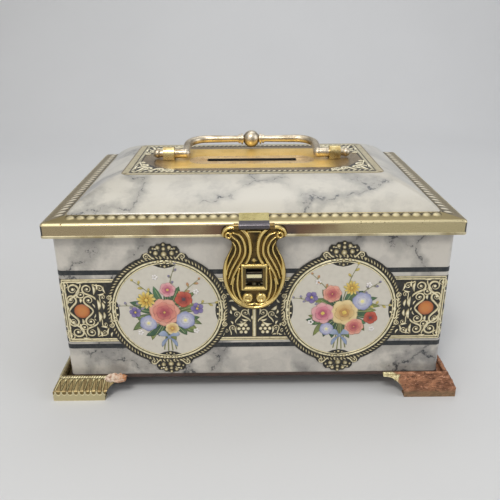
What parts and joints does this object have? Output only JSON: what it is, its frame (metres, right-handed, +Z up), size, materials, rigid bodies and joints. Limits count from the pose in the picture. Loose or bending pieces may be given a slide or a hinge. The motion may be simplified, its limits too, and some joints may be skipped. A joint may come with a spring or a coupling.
{
  "type": "tin money box",
  "caption": "Rectangular tinplate money box on corner feet, with a hinged domed lid, a coin slot in the lid, a swinging bail handle and a front hasp over a staple.",
  "frame": {"origin": "on the surface the feet stand on, under the middle of the box", "axes": "+X to the right seen from the front, +Y to the back, +Z up; the hasp is on the front at -Y"},
  "size_m": [0.167, 0.121, 0.0962],
  "materials": {
    "printed_tin": "glossy printed marble",
    "base_tin": "dull, with some rust",
    "foot_gold": "pale gilt, worn",
    "foot_rusted": "gilt, mostly rusted",
    "hinge_gold": "gilt",
    "strap_gold": "polished",
    "handle_gold": "satin cast gilt",
    "hasp_brass": "polished ridges, dark hollows",
    "steel": "plain"
  },
  "bodies": {
    "box": {"body_shell": "printed_tin", "base_panel": "base_tin", "foot_front_left": "foot_gold", "foot_front_right": "foot_rusted", "foot_rear_left": "foot_gold", "foot_rear_right": "foot_gold", "foot_rivets": "steel", "staple": "hasp_brass", "body_hinge_leaf": "hinge_gold", "body_hinge_rivets": "hinge_gold", "hinge_pin": "steel"},
    "lid": {"lid_shell": "printed_tin", "lid_hinge_leaf": "hinge_gold", "lid_hinge_rivets": "hinge_gold", "hasp_bracket": "hasp_brass", "hasp_pin": "steel", "handle_bracket_left": "strap_gold", "handle_bracket_right": "strap_gold"},
    "hasp": {"hasp": "hasp_brass"},
    "handle": {"handle": "handle_gold"}
  },
  "joints": [
    {"name": "lid_hinge", "type": "hinge", "parent": "box", "child": "lid", "pos_m": [0, 0.0585, 0.0693], "axis": [-1, 0, 0], "range_deg": [0, 105]},
    {"name": "hasp_hinge", "type": "hinge", "parent": "lid", "child": "hasp", "pos_m": [0, -0.0589, 0.07585], "axis": [-1, 0, 0], "range_deg": [-4, 170]},
    {"name": "handle_hinge", "type": "hinge", "parent": "lid", "child": "handle", "pos_m": [0, 0, 0.0899], "axis": [1, 0, 0], "range_deg": [0, 165]}
  ]
}
